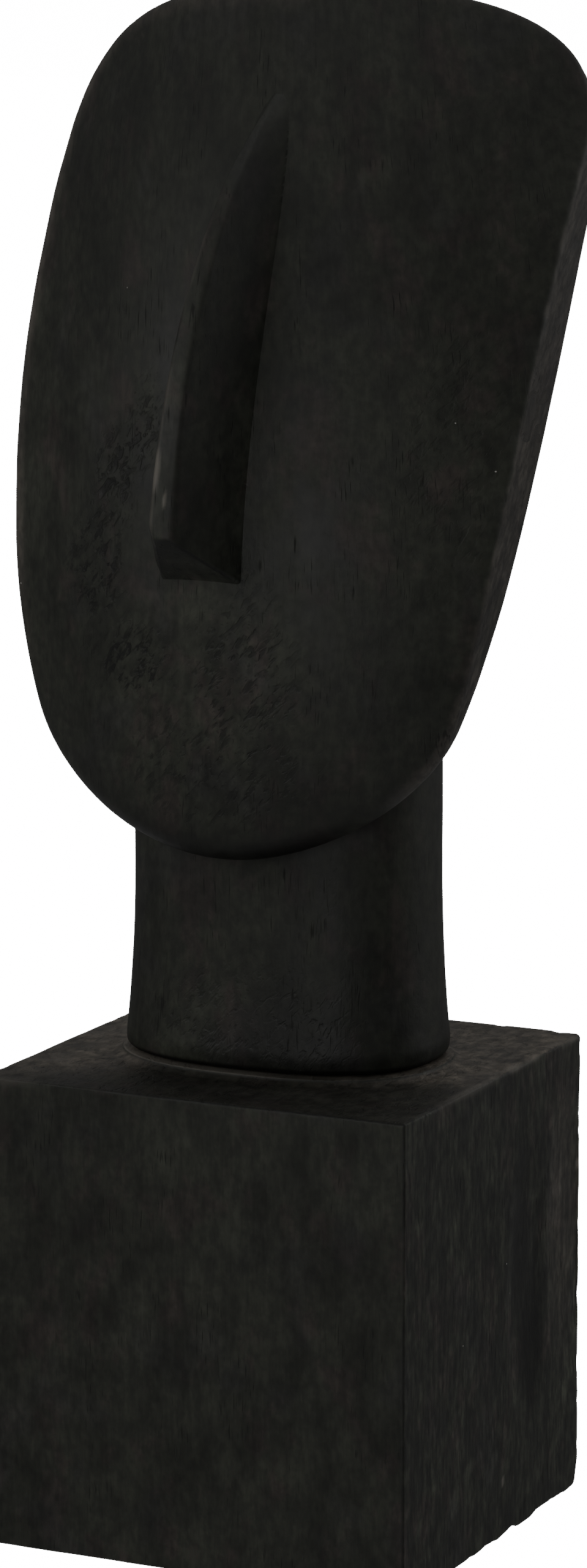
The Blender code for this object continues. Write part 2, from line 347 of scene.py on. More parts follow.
def face_slope(z):
    """How steeply the face's front leans back at a height."""
    return 2 * FACE_LEAN * (z - FOREMOST_Z) / (CROWN_Z - FOREMOST_Z) ** 2


def face_back(x, z):
    """Depth of the face's flatter back."""
    lean = BACK_LEAN * ((z - BACK_TURN_Z) / (CROWN_Z - BACK_TURN_Z)) ** 2
    return -BACK_REACH + lean + BACK_CROWN * (1 - (x / HALF_FACE) ** 2)


def cubic_span(start, handle_out, handle_in, end):
    """Points on one cubic span with its two handles."""
    t = np.linspace(0.0, 1.0, SPAN_POINTS)[:, None]
    s = 1.0 - t
    curve = start * s ** 3 + handle_out * 3 * s * s * t + handle_in * 3 * s * t * t
    return curve + end * t ** 3


def half_outline():
    """Evenly spaced points (across, up) from chin to crown, with their outward directions."""
    scale = np.array([HALF_FACE, FACE_HEIGHT])
    runs = [cubic_span(*(np.array(knot) * scale for knot in span)) for span in OUTLINE_SPANS]
    dense = np.vstack([runs[0], runs[1][1:], runs[2][1:]])
    lengths = np.concatenate([[0.0], np.cumsum(np.linalg.norm(np.diff(dense, axis=0), axis=1))])
    even = np.linspace(0.0, lengths[-1], OUTLINE_POINTS)
    outline = np.column_stack([np.interp(even, lengths, dense[:, k]) for k in (0, 1)])
    tangent = np.gradient(outline, axis=0)
    tangent /= np.linalg.norm(tangent, axis=1)[:, None]
    outward = np.column_stack([tangent[:, 1], -tangent[:, 0]])
    outward[0] = (0.0, -1.0)
    outward[-1] = (0.0, 1.0)
    outline[:, 1] += CHIN_Z
    return outline, outward


def softened(above, at_chin, z):
    """Radius of an edge of the face: one value above, growing to another round the chin."""
    share = np.clip((z - CHIN_Z) / (CHIN_SOFT_TO * FACE_HEIGHT), 0.0, 1.0)
    return above + (at_chin - above) * (1 - share) ** 2


def turned(first, middle, last, steps, cut):
    """Points round an edge without its first one; cut 1 is a flat bevel and cut 0 a round."""
    middle = middle * (1 - cut) + (first + last) / 2 * cut
    run = []
    for step in range(1, steps + 1):
        t = step / steps
        run.append(first * (1 - t) ** 2 + middle * 2 * t * (1 - t) + last * t * t)
    return run


def face_edges(side, points):
    """How far the front's edge is cut back on the front and on the side, and how flatly.

    The edge of the face's right (side 1) is nicked. Its left (side -1) has a narrow flat bevel
    above the jaw.
    """
    z = points[:, 2]
    if side > 0:
        nick = value_noise(points, 0.0085, seed=11) * 0.6
        nick += value_noise(points, 0.0040, seed=12) * 0.5
        nick = np.clip(nick, 0.0, 1.0) * rise(0.290, 0.330, z) * fall(0.440, 0.458, z)
        edge = FACE_EDGE * (0.6 + 0.5 * nick)
        return edge, edge, np.full_like(z, 0.4)
    bevel = rise(0.305, 0.385, z) * (1 - 0.5 * rise(0.470, 0.500, z))
    wander = 1.0 + 0.22 * value_noise(points, 0.014, seed=13)
    on_front = FACE_EDGE + (BEVEL_WIDTH * wander - FACE_EDGE) * bevel
    on_side = FACE_EDGE + (BEVEL_DEPTH * wander - FACE_EDGE) * bevel
    return on_front, on_side, 0.3 + 0.65 * bevel


def through_face(corner):
    """The way back from each point of the front's edge, square to the front, and its length."""
    z = corner[:, 2]
    way = np.column_stack([np.zeros_like(z), np.ones_like(z), -face_slope(z)])
    way /= np.linalg.norm(way, axis=1)[:, None]
    reach = np.zeros_like(z)
    for _ in range(THROUGH_TRIES):
        place = corner + way * reach[:, None]
        reach += face_back(place[:, 0], place[:, 2]) - place[:, 1]
    return way, reach


def half_face(side):
    """Columns of points from the spine over the front, round the edge and to the spine again."""
    outline, outward = half_outline()
    x, z = outline.T
    way_x, way_z = outward.T
    on_front, on_side, cut = face_edges(side, np.column_stack([side * x, np.zeros_like(x), z]))
    chin_edge = softened(0.0, CHIN_ROUNDING - FACE_EDGE, z)
    front_corner = np.column_stack([x, face_front(x, z), z])
    way, reach = through_face(front_corner)
    back_corner = front_corner + way * reach[:, None]

    front_radius = np.minimum(on_front + chin_edge, FRONT_EDGE_SHARE * reach)
    side_radius = np.minimum(on_side + chin_edge, FRONT_EDGE_SHARE * reach)
    back_radius = np.minimum(softened(BACK_EDGE, JAW_BACK_EDGE, z), BACK_EDGE_SHARE * reach)
    share = np.linspace(0.0, 1.0, len(x))
    spine_z = CHIN_Z + (SPINE_LOW_AT + share * (SPINE_HIGH_AT - SPINE_LOW_AT)) * FACE_HEIGHT

    def inset(corner, depth):
        """Moves an edge in from the outline."""
        return np.maximum(corner[:, 0] - way_x * depth, 0.0), corner[:, 2] - way_z * depth

    def ring(surface, across, up, part):
        """An edge on one of the face's surfaces, drawn in towards the spine to a share."""
        px = across * part
        pz = spine_z + (up - spine_z) * part
        return np.column_stack([px, surface(px, pz), pz])

    front_x, front_z = inset(front_corner, front_radius)
    back_x, back_z = inset(back_corner, back_radius)
    rows = [ring(face_front, front_x, front_z, k / FRONT_RINGS) for k in range(FRONT_RINGS + 1)]
    side_start = front_corner + way * side_radius[:, None]
    side_end = back_corner - way * back_radius[:, None]
    rows += turned(rows[-1], front_corner, side_start, EDGE_STEPS, cut[:, None])
    for k in range(1, SIDE_STEPS + 1):
        rows.append(side_start + (side_end - side_start) * k / SIDE_STEPS)
    back_start = ring(face_back, back_x, back_z, 1.0)
    rows += turned(side_end, back_corner, back_start, EDGE_STEPS, 0.0)
    for k in range(BACK_RINGS - 1, -1, -1):
        rows.append(ring(face_back, back_x, back_z, k / BACK_RINGS))
    columns = np.stack(rows, axis=1)
    columns[:, :, 0] *= side
    return columns


def face_shell():
    """The leaning shield of the face, closed round its rim."""
    right = half_face(1)
    left = half_face(-1)[1:-1][::-1]
    columns = np.vstack([right, left])
    count, length = columns.shape[:2]
    here = np.arange(count)[:, None] * length + np.arange(length - 1)
    beyond = np.roll(here, -1, axis=0)
    faces = np.stack([here, beyond, beyond + 1, here + 1], axis=-1).reshape(-1, 4)
    return mesh_piece("face_shell", columns.reshape(-1, 3), faces.tolist())


# Mesh helpers

def mesh_piece(name, points, faces):
    """Makes an object from points and faces, with doubled points merged."""
    mesh = bpy.data.meshes.new(name)
    mesh.from_pydata(points.tolist(), [], faces)
    mesh.validate()
    piece = bpy.data.objects.new(name, mesh)
    bpy.context.scene.collection.objects.link(piece)
    merge = piece.modifiers.new("merge", "WELD")
    merge.merge_threshold = WELD
    bake(piece)
    return piece


def bake(piece):
    """Applies the piece's modifiers."""
    graph = bpy.context.evaluated_depsgraph_get()
    graph.update()
    baked = bpy.data.meshes.new_from_object(piece.evaluated_get(graph))
    piece.modifiers.clear()
    old = piece.data
    piece.data = baked
    bpy.data.meshes.remove(old)


def unite(piece, *tools):
    """Joins tools to the piece as one skin, and removes them."""
    for tool in tools:
        union = piece.modifiers.new("join", "BOOLEAN")
        union.operation = "UNION"
        union.solver = "EXACT"
        union.object = tool
    bake(piece)
    for tool in tools:
        bpy.data.objects.remove(tool, do_unlink=True)


def loft(name, rings):
    """Closes a row of rings, each with the same number of points, with a fan at both ends."""
    rings = np.asarray(rings)
    count = rings.shape[1]
    points = rings.reshape(-1, 3)
    here = np.arange(len(rings) - 1)[:, None] * count + np.arange(count)
    beyond = np.roll(here, -1, axis=1)
    quads = np.stack([here, beyond, beyond + count, here + count], axis=-1).reshape(-1, 4)
    ends = [list(range(count))[::-1], list(range(len(points) - count, len(points)))]
    return mesh_piece(name, points, quads.tolist() + ends)


def read(items, field):
    """Three numbers of each item, as an array."""
    flat = np.empty(len(items) * 3, np.float32)
    items.foreach_get(field, flat)
    return flat.reshape(-1, 3).astype(float)


def points_of(piece):
    """The piece's points as an array."""
    return read(piece.data.vertices, "co")


def normals_of(piece):
    """The piece's point normals as an array."""
    return read(piece.data.vertex_normals, "vector")


def set_points(piece, points):
    """Puts an array of points back into the piece."""
    piece.data.vertices.foreach_set("co", points.astype(np.float32).ravel())
    piece.data.update()


def mark(piece, name, values):
    """Stores a share from 0 to 1 at each point, for the material to read."""
    layer = piece.data.attributes.new(name, "FLOAT", "POINT")
    layer.data.foreach_set("value", np.clip(values, 0.0, 1.0).astype(np.float32))


def mark_grain(piece, points):
    """Stores each point's place in the wood's grain, for the material to read."""
    layer = piece.data.attributes.new("grain", "FLOAT_VECTOR", "POINT")
    layer.data.foreach_set("vector", points.astype(np.float32).ravel())


def keep_inside(piece, node):
    """Holds the piece inside the box of the solid that it stands for."""
    low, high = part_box(node)
    set_points(piece, np.clip(points_of(piece), np.array(low), np.array(high)))


def shade(piece):
    """Shades soft surfaces smooth and keeps sharp edges sharp."""
    piece.data.shade_smooth()
    piece.data.set_sharp_from_angle(angle=math.radians(SHARP_ANGLE))


# Head

def oval(half_width, front, back, z):
    """One ring at height z, a superellipse between two depths."""
    angle = np.linspace(0.0, 2 * math.pi, NECK_SIDES, endpoint=False)
    power = 2.0 / NECK_SQUARENESS
    across = np.sign(np.cos(angle)) * np.abs(np.cos(angle)) ** power
    along = np.sign(np.sin(angle)) * np.abs(np.sin(angle)) ** power
    middle = (front + back) / 2
    depth = (back - front) / 2
    return np.column_stack([half_width * across, middle + depth * along, np.full_like(angle, z)])


def neck_oval(grow, z):
    """The neck's own oval at height z, grown outwards."""
    return oval(HALF_NECK + grow, NECK_FRONT - grow, NECK_BACK + grow, z)


def neck_shell():
    """The oval neck, from its rounded foot to the nape that runs into the face's back."""
    nape_start = CHIN_Z + NAPE_START_AT * FACE_HEIGHT
    nape_end = CHIN_Z + NAPE_END_AT * FACE_HEIGHT
    nape_end_back = face_back(0.0, nape_end) - NAPE_SINK
    rings = []
    for i in range(FOOT_RINGS):
        angle = i / FOOT_RINGS * math.pi / 2
        z = FOOT_Z + FOOT_ROUNDING * (1 - math.cos(angle))
        grow = FOOT_FLARE - FOOT_ROUNDING * (1 - math.sin(angle))
        rings.append(neck_oval(grow, z))
    for i in range(FLARE_RINGS):
        share = i / FLARE_RINGS
        z = FOOT_Z + FOOT_ROUNDING + share * (FOOT_FLARE_HEIGHT - FOOT_ROUNDING)
        grow = FOOT_FLARE * (1 - share) ** 2
        rings.append(neck_oval(grow, z))
    for z in np.linspace(FOOT_Z + FOOT_FLARE_HEIGHT, nape_start, STEM_RINGS, endpoint=False):
        rings.append(neck_oval(0.0, z))
    for i in range(NAPE_RINGS + 1):
        share = i / NAPE_RINGS
        z = nape_start + share * (nape_end - nape_start)
        nape_back = NECK_BACK + (nape_end_back - NECK_BACK) * share ** NAPE_LEAN_POWER
        nape_front = max(NECK_FRONT, face_back(0.0, z) - NAPE_ROOT)
        nape_half = HALF_NECK * (1 - NAPE_TAPER * share ** NAPE_TAPER_POWER)
        rings.append(oval(nape_half, nape_front, nape_back, z))
    return loft("neck_shell", rings)


def nose_half(share, half_base, inset, widest_rounding):
    """Half of a section through the nose, from its ridge's middle to below its base."""
    relief = NOSE_RELIEF * (1 - share ** NOSE_RELIEF_POWER) - inset
    half_ridge = np.interp(share, *RIDGE_HALVES) - inset / 2
    half_base = max(half_base - inset, half_ridge)
    rounding = min(
        widest_rounding, half_ridge * RIDGE_ROUNDING_SHARE, relief * RELIEF_ROUNDING_SHARE
    )
    ridge = np.array([half_ridge, relief])
    base = np.array([half_base, 0.0])
    down = (base - ridge) / np.linalg.norm(base - ridge)
    start = ridge - (rounding, 0.0)
    end = ridge + down * rounding
    profile = [np.array([0.0, relief]), (np.array([0.0, relief]) + start) / 2, start]
    profile += turned(start, ridge, end, EDGE_STEPS, 0.0)
    for k in range(1, NOSE_FLANK_STEPS + 1):
        profile.append(end + (base - end) * k / NOSE_FLANK_STEPS)
    profile.append(np.array([half_base, -NOSE_SINK]))
    return np.array(profile)


def nose_section(share):
    """One slanting section through the nose, from its foot (0) to its root (1)."""
    foot_z = CHIN_Z + NOSE_FOOT_AT * FACE_HEIGHT
    root_z = CHIN_Z + NOSE_ROOT_AT * FACE_HEIGHT
    from_foot = min(share * (root_z - foot_z) / NOSE_FOOT_EDGE, 1.0)
    inset = NOSE_FOOT_EDGE * (1 - math.sqrt(1 - (1 - from_foot) ** 2))
    right_base = NOSE_WIDTH / 2 * math.sqrt(1 - share ** NOSE_WIDTH_POWER)
    right = nose_half(share, right_base, inset, np.interp(share, *RIGHT_ROUNDINGS))
    left_base = NOSE_WIDTH / 2 * math.sqrt(1 - share ** 2) * (1 - NOSE_LEFT_TAPER * share)
    left = nose_half(share, left_base, inset, NOSE_ROUNDING)[:0:-1] * (-1.0, 1.0)
    whole = np.vstack([left, right])
    height = np.maximum(whole[:, 1], 0.0)
    whole[:, 0] += np.interp(share, *RIDGE_SHIFTS) * height / max(height.max(), 1e-6)
    worn = fall(0.0, NOSE_WEAR_SHARE, share)
    at_left = rise(0.0, 0.004, -whole[:, 0])
    whole[:, 0] += NOSE_FOOT_WEAR * worn * at_left * (0.5 - whole[:, 0] / NOSE_WIDTH)
    base_z = foot_z + share * (root_z - foot_z)
    z = base_z + UNDERSIDE_RISE * (1 - share) * height / NOSE_RELIEF
    return np.column_stack([whole[:, 0], face_front(whole[:, 0], z) - whole[:, 1], z])


def nose_shell():
    """The long nose, a wedge with a flat ridge that narrows into the forehead."""
    shares = (1 - np.cos(np.linspace(0.0, math.pi, NOSE_SECTIONS + 1))) / 2
    return loft("nose_shell", [nose_section(NOSE_LAST_SHARE * share) for share in shares])


def carve_head():
    """Face, neck and nose as one carved skin, with its wear, tool marks and painted light and
    shade.
    """
    head = face_shell()
    head.name = "carved_head"
    unite(head, neck_shell(), nose_shell())
    points = points_of(head)
    normals = normals_of(head)
    broad = value_noise(points, 0.028, seed=21) + 0.5 * value_noise(points, 0.012, seed=22)
    fine = value_noise(points, (0.0035, 0.0035, 0.006), seed=23)
    pitted = strongest(points, *TOOL_MARKS)
    depth = WAVE_DEPTH * broad + RIPPLE_DEPTH * fine
    cuts = np.clip(value_noise(leaned(points), (0.0019, 0.02, 0.0046), seed=24), 0.0, 1.0)
    depth -= CUT_DEPTH * pitted * cuts
    points = points + normals * depth[:, None]
    points = undercut(points)
    set_points(head, points)
    x, y, z = points.T
    on_face = face_mask(points)
    grain = points.copy()
    grain[:, 0] += on_face * GRAIN_DRIFT * face_front(0.0, z)
    grain[:, 1] -= on_face * face_front(x, z)
    mark_grain(head, grain)
    mark(head, "pitted", pitted)
    mark(head, "rubbed_and_lit", rubbed_and_lit_rim(points))
    mark(head, "bare_and_highlight", head_bare_and_highlights(points))
    mark(head, "tone_and_painted_light", head_tone_and_light(points, normals))
    side_wall = rise(0.0008, 0.0020, y - face_front(x, z)) * on_face
    side_wall *= rise(0.6, 0.9, np.abs(normals[:, 0]))
    mark(head, "fibre", HEAD_FIBRE + SIDE_WALL_FIBRE * side_wall)
    keep_inside(head, "head")
    shade(head)
    return head


def over_edge(points):
    """How far each point is above the face's lower edge."""
    x, y, z = points.T
    outline = half_outline()[0]
    lower = outline[:int(np.argmax(outline[:, 0]))]
    lowest = np.interp(np.abs(x), lower[:, 0], lower[:, 1])
    return z + face_slope(z) * np.maximum(y - face_front(x, z), 0.0) - lowest


def face_mask(points):
    """1 on the face's front and side walls, 0 on its back and on the neck."""
    x, y, z = points.T
    return ((over_edge(points) > -0.0005) & (face_back(x, z) - y > 0.0012)).astype(float)


def leaned(points):
    """Points turned about the depth, so that upright lumps lean over to the right."""
    angle = math.radians(TOOL_LEAN)
    turned_points = points.copy()
    turned_points[:, 0] = points[:, 0] * math.cos(angle) - points[:, 2] * math.sin(angle)
    turned_points[:, 2] = points[:, 0] * math.sin(angle) + points[:, 2] * math.cos(angle)
    return turned_points


def undercut(points):
    """Draws the neck's foot in towards its underside, most at its front and right."""
    x, y, z = points.T
    low = fall(FOOT_Z, FOOT_Z + UNDERCUT_HEIGHT, z)
    inside = np.column_stack([x / NECK_WIDTH * 2, (y - NECK_OFFSET) / NECK_DEPTH * 2])
    facing = inside / np.maximum(np.linalg.norm(inside, axis=1), 1e-9)[:, None]
    right_front = rise(-0.2, 0.9, facing @ UNDERCUT_TOWARDS)
    pull = (UNDERCUT_DEPTH + UNDERCUT_MORE * right_front) * low
    moved = points.copy()
    moved[:, :2] -= facing * pull[:, None]
    return moved


def from_rim(points):
    """How far each point is inside the face's outline, across or up, whichever is less."""
    outline = half_outline()[0]
    widest = int(np.argmax(outline[:, 0]))
    upper = outline[widest:][::-1]
    x, z = np.abs(points[:, 0]), points[:, 2]
    across = np.interp(z, outline[:, 1], outline[:, 0]) - x
    up = np.interp(x, upper[:, 0], upper[:, 1]) - z
    return np.where(z > upper[-1, 1], np.minimum(across, up), across)


def rubbed_and_lit_rim(points):
    """Stain rubbed thin on the face's side walls and edges; painted highlight on its left rim
    and crown.
    """
    x, y, z = points.T
    ragged = value_noise(points, (0.0022, 0.0022, 0.0040), seed=25)
    ragged += 0.6 * value_noise(points, (0.0009, 0.0009, 0.0016), seed=27)
    side = rise(0.0003, 0.0011, y - face_front(x, z) + 0.0006 * ragged)
    before_back = fall(-0.0030, -0.0005, y - face_back(x, z))
    near_rim = rise(0.80, 0.95, np.hypot(x / HALF_FACE, (z - 0.365) / 0.155))
    above_neck = np.maximum(rise(0.052, 0.060, np.abs(x)), rise(0.43, 0.46, z))
    inside = from_rim(points)
    # Painted highlight along the face's left rim above the jaw
    left = fall(0.0030, 0.0090, inside + 0.0012 * ragged)
    left *= (x < 0) * rise(*JAW_FADE, z)
    # Painted highlight along the crown's right edge
    crown = fall(0.0010, 0.0034, inside + 0.0010 * ragged) * (x > 0)
    crown *= rise(0.450, 0.465, z)
    rubbed_and_lit = np.maximum(side * near_rim, np.maximum(left, 0.5 * crown))
    return rubbed_and_lit * before_back * above_neck * rise(0.232, 0.250, z)


def head_bare_and_highlights(points):
    """Bared wood in specks along the right rim; painted highlight in specks along the left rim
    and glints on the nose's ridge.
    """
    x, y, z = points.T
    from_front = y - face_front(x, z)
    rim = rise(0.0002, 0.0007, from_front) * fall(0.0014, 0.0030, from_front)
    rim *= rise(0.300, 0.340, z) * (1 - 0.8 * rise(0.440, 0.460, z))
    broken = rise(0.0, 0.7, value_noise(points, (0.0024, 0.0024, 0.0075), seed=26))
    inside = from_rim(points)
    # Painted highlight in specks along the left rim
    left = (x < 0) * fall(0.0005, 0.0022, inside)
    left *= rise(0.330, 0.360, z) * fall(0.445, 0.470, z)
    rim = np.maximum(rim * (x > 0), 0.7 * left) * (inside < 0.006)
    rim *= fall(-0.0040, -0.0010, y - face_back(x, z))
    # Painted glints on the nose's ridge
    ridge_glints = strongest(points, *RIDGE_GLINTS)
    return 0.30 * rim * (0.10 + 0.90 * broken) + ridge_glints * (0.7 + 0.3 * broken)


def painted_left_rim_light(points):
    """Painted highlight: how strongly the face's left rim above the jaw is made lighter, and
    softly the cheek by it.
    """
    x, z = points[:, 0], points[:, 2]
    inside = from_rim(points)
    border = 0.62 * fall(0.003, 0.008, inside)
    border += 0.38 * fall(0.010, 0.034, inside) * fall(0.40, 0.44, z)
    return border * (x < 0) * rise(*JAW_FADE, z) * fall(0.480, 0.500, z)


def nose_painted_light(points, normals):
    """Painted light and shade on the nose: lighter on its ridge, darker on its right flank, its
    lower ridge's right and below.
    """
    x, z = points[:, 0], points[:, 2]
    # Painted shade on the right of the nose's lower ridge
    ridge_right_shade = rise(0.0002, 0.0030, x) * fall(0.350, 0.376, z)
    ridge = rise(0.72, 0.92, -normals[:, 1]) * (1 - ridge_right_shade)
    flank = rise(0.45, 0.80, normals[:, 0])
    flank *= 0.05 * rise(0.335, 0.360, z) + 0.15 * rise(0.37, 0.43, z)
    underside = rise(0.20, 0.60, -normals[:, 2])
    return 0.20 * ridge - flank - 0.52 * underside - 0.10 * ridge_right_shade


def painted_shade_under_chin(points, normals):
    """Painted shade: how much darker the colour is under the chin and down the neck's right."""
    x, y, z = points.T
    neck_right = fall(0.228, 0.246, z) * rise(0.002, 0.022, x) * fall(0.60, 0.90, normals[:, 0])
    before_neck = rise(0.0, 0.008, -0.036 - y)
    over = over_edge(points)
    middle = rise(-0.046, -0.028, x) * fall(0.030, 0.048, x)
    recess = rise(-0.0065, -0.0005, over) * fall(0.240, 0.262, z)
    recess *= (1 - before_neck) * fall(-0.024, -0.006, y) * middle
    lip = before_neck * middle * fall(0.0020, 0.0180, over)
    chin_turn = before_neck * fall(0.245, 0.280, z) * rise(0.05, 0.55, -normals[:, 2])
    return 0.12 * neck_right + 0.44 * recess + 0.14 * chin_turn + 0.36 * lip


def head_tone_and_light(points, normals):
    """How light the head's colour is, 0.5 being even: darker stain patches, and painted light
    and shade.
    """
    x, y, z = points.T
    on_nose = rise(0.0015, 0.0060, face_front(x, z) - y)
    lighter = strongest(points, *PAINTED_LIGHT_PATCHES) * (1 - 0.9 * on_nose)
    tone_and_painted_light = 0.49 + lighter - strongest(points, *DARKER_STAIN) - 0.03 * rise(0.430, 0.460, z)
    tone_and_painted_light += 0.60 * painted_left_rim_light(points) + on_nose * nose_painted_light(points, normals)
    return tone_and_painted_light - painted_shade_under_chin(points, normals)


# Block

def block_lines(low, high):
    """Places across the block, closer together towards both arrises."""
    inner = np.array(ARRIS_STEPS)
    start = low + inner[-1]
    end = high - inner[-1]
    count = int(round((end - start) / BLOCK_STEP))
    middle = np.linspace(start, end, count + 1)
    return np.concatenate([low + inner[:-1], middle, (high - inner[:-1])[::-1]])


def block_shell():
    """A fine grid over the six sides of the block."""
    low = np.array([-BLOCK_WIDTH / 2, -BLOCK_DEPTH / 2, 0.0])
    high = np.array([BLOCK_WIDTH / 2, BLOCK_DEPTH / 2, BLOCK_HEIGHT])
    lines = [block_lines(low[k], high[k]) for k in range(3)]
    all_points = []
    all_faces = []
    offset = 0
    for axis in range(3):
        first, second = (axis + 1) % 3, (axis + 2) % 3
        grid_a, grid_b = np.meshgrid(lines[first], lines[second], indexing="ij")
        rows, columns = grid_a.shape
        here = np.arange(rows - 1)[:, None] * columns + np.arange(columns - 1)
        quads = np.stack([here, here + columns, here + columns + 1, here + 1], axis=-1)
        for level, outwards in ((low[axis], False), (high[axis], True)):
            points = np.empty((grid_a.size, 3))
            points[:, axis] = level
            points[:, first] = grid_a.ravel()
            points[:, second] = grid_b.ravel()
            faces = quads.reshape(-1, 4)
            if not outwards:
                faces = faces[:, ::-1]
            all_points.append(points)
            all_faces.append(faces + offset)
            offset += len(points)
    return mesh_piece("worn_plinth", np.vstack(all_points), np.vstack(all_faces).tolist())


def rounded(points):
    """Rounds the block's arrises, more where hands and knocks have worn them."""
    x, y, z = points.T
    half = np.array([BLOCK_WIDTH / 2, BLOCK_DEPTH / 2])
    near, far = CORNER_REACH
    radius = np.full(len(points), ARRIS_RADIUS)
    top = rise(BLOCK_HEIGHT - far, BLOCK_HEIGHT - near, z)
    right = rise(half[0] - far, half[0] - near, x)
    back = rise(half[1] - far, half[1] - near, y)
    foot = fall(near, far, z)
    radius += 0.0006 * top * right * rise(-half[1], -half[1] + far, y)
    radius += 0.0005 * right * back + 0.0016 * right * back * foot
    radius += 0.0004 * np.clip(value_noise(points, 0.011, seed=31), 0.0, 1.0)
    ragged = value_noise(points, 0.0060, seed=36) + 0.6 * value_noise(points, 0.0030, seed=37)
    radius += 0.0009 * np.clip(ragged, 0.0, 1.0) * right * np.maximum(back, foot)
    middle = np.array([0.0, 0.0, BLOCK_HEIGHT / 2])
    limit = np.array([half[0], half[1], BLOCK_HEIGHT / 2]) - radius[:, None]
    centred = points - middle
    core = np.clip(centred, -limit, limit)
    away = centred - core
    length = np.linalg.norm(away, axis=1)
    length[length == 0] = 1.0
    moved = middle + core + away / length[:, None] * radius[:, None]
    along = points * (0.0, 1.0, 0.0)
    wave = value_noise(along, 0.013, seed=38) + 0.6 * value_noise(along, 0.0055, seed=39)
    lift = FOOT_LIFT * np.clip(wave, 0.0, 1.0) * rise(half[0] - 0.006, half[0] - 0.001, x)
    moved[:, 2] += lift * fall(0.0, far, z)
    return moved


def seat_shell():
    """The low oval seat under the neck."""
    rings = [neck_oval(SEAT_GROW + beyond, BLOCK_HEIGHT + up) for beyond, up in SEAT_SLOPE]
    for i in range(SEAT_LIP_STEPS + 1):
        angle = i / SEAT_LIP_STEPS * math.pi / 2
        inwards = SEAT_LIP * (1 - math.cos(angle))
        rings.append(neck_oval(SEAT_GROW - inwards, SEAT_TOP - SEAT_LIP * (1 - math.sin(angle))))
    return loft("seat_shell", rings)


def shaded_edge_lines(points):
    """Painted shade: how strongly the thin dark line runs along the front's top and right edges.
    """
    x, y, z = points.T
    from_front = y + BLOCK_DEPTH / 2
    to_top = np.hypot(from_front, BLOCK_HEIGHT - z)
    to_right = np.hypot(from_front, BLOCK_WIDTH / 2 - x)
    on_top = fall(0.0003, EDGE_LINE_WIDTH, to_top) * rise(-0.050, -0.010, x)
    on_right = fall(0.0003, EDGE_LINE_WIDTH, to_right)
    broken = rise(-0.65, -0.05, value_noise(points, (0.008, 0.02, 0.012), seed=35))
    return np.maximum(on_top, 0.8 * on_right) * (0.35 + 0.65 * broken)


def worn_block():
    """The block with worn arrises, a wane on its right, small dents on top and painted edge
    shade.
    """
    plinth = block_shell()
    edge_shade = shaded_edge_lines(points_of(plinth))
    points = rounded(points_of(plinth))
    set_points(plinth, points)
    normals = normals_of(plinth)
    sunk = strongest(points, HUMP) + strongest(points, HOLLOW)
    depth = -rise(*FACING, normals[:, 0]) * sunk - EDGE_LINE_DEPTH * edge_shade
    depth += WAVE_DEPTH * value_noise(points, 0.020, seed=32)
    depth += RIPPLE_DEPTH * value_noise(points, 0.005, seed=33)
    dents = np.clip(value_noise(points, 0.0042, seed=34) - 0.35, 0.0, 1.0)
    dents *= rise(*FACING, normals[:, 2]) * (1 - shadowed_front_of_top(points))
    depth -= DENT_DEPTH * dents
    set_points(plinth, points + normals * depth[:, None])
    mark(plinth, "edge_shade", edge_shade)
    return plinth


def carve_plinth():
    """The worn block with its seat, marked for the material."""
    plinth = worn_block()
    unite(plinth, seat_shell())
    points = points_of(plinth)
    normals = normals_of(plinth)
    right = rise(*FACING, normals[:, 0])
    top = rise(*FACING, normals[:, 2]) * rise(0.15, 0.156, points[:, 2])
    mark_grain(plinth, points)
    mark(plinth, "pitted", 0.45 * top)
    # Lighter end grain on top, mostly left out on its front, as painted shadow
    mark(plinth, "end_grain", top * (1 - 0.85 * shadowed_front_of_top(points)))
    band = strongest(points, PAINTED_LIGHT_BAND)
    # Painted highlight on the band on the block's right, as a lighter hue
    mark(plinth, "rubbed_and_lit", 0.8 * right * band)
    mark(plinth, "bare_and_highlight", plinth_bare_and_lip_light(points))
    mark(plinth, "tone_and_painted_light", plinth_painted_light(points, right, top))
    sides = rise(*FACING, np.abs(normals[:, 0]))
    fibre = BLOCK_FIBRE + (BLOCK_SIDE_FIBRE - BLOCK_BAND_FIBRE * right * band) * sides
    mark(plinth, "fibre", fibre - BLOCK_TOP_FIBRE * top)
    keep_inside(plinth, "plinth")
    shade(plinth)
    return plinth


def shadowed_front_of_top(points):
    """1 on the front part of the block's top, which gets painted shadow, 0 on the rest of it."""
    x, y = points[:, 0], points[:, 1]
    behind = rise(-0.060, -0.026, y - 0.30 * (x + 0.02))
    return 1 - behind * rise(0.0, 0.02, np.abs(x + 0.005) - 0.02)


def plinth_bare_and_lip_light(points):
    """Where the wood is bared: the top's right arris and left edge, and nicks; painted highlight
    on the seat's lip.
    """
    x, y, z = points.T
    high = rise(BLOCK_HEIGHT - 0.0030, BLOCK_HEIGHT - 0.0006, z)
    from_right = BLOCK_WIDTH / 2 - x
    arris = high * fall(0.0010, 0.0032, from_right) * rise(-0.052, -0.010, y)
    broken = rise(-0.45, 0.55, value_noise(points, (0.004, 0.008, 0.004), seed=41))
    left = high * fall(0.006, 0.030, x + BLOCK_WIDTH / 2)
    seat_x = x / (HALF_NECK + SEAT_GROW)
    # Painted highlight along the seat's front lip, fading to the right
    lip = rise(SEAT_TOP - 0.0006, SEAT_TOP - 0.0001, z) * (y < -0.012)
    lip *= 1 - 0.8 * rise(-0.05, 0.50, seat_x)
    nicks = strongest(points, *BLOCK_NICKS)
    return np.maximum((0.50 * arris + 0.22 * left) * broken + 0.42 * lip, nicks)


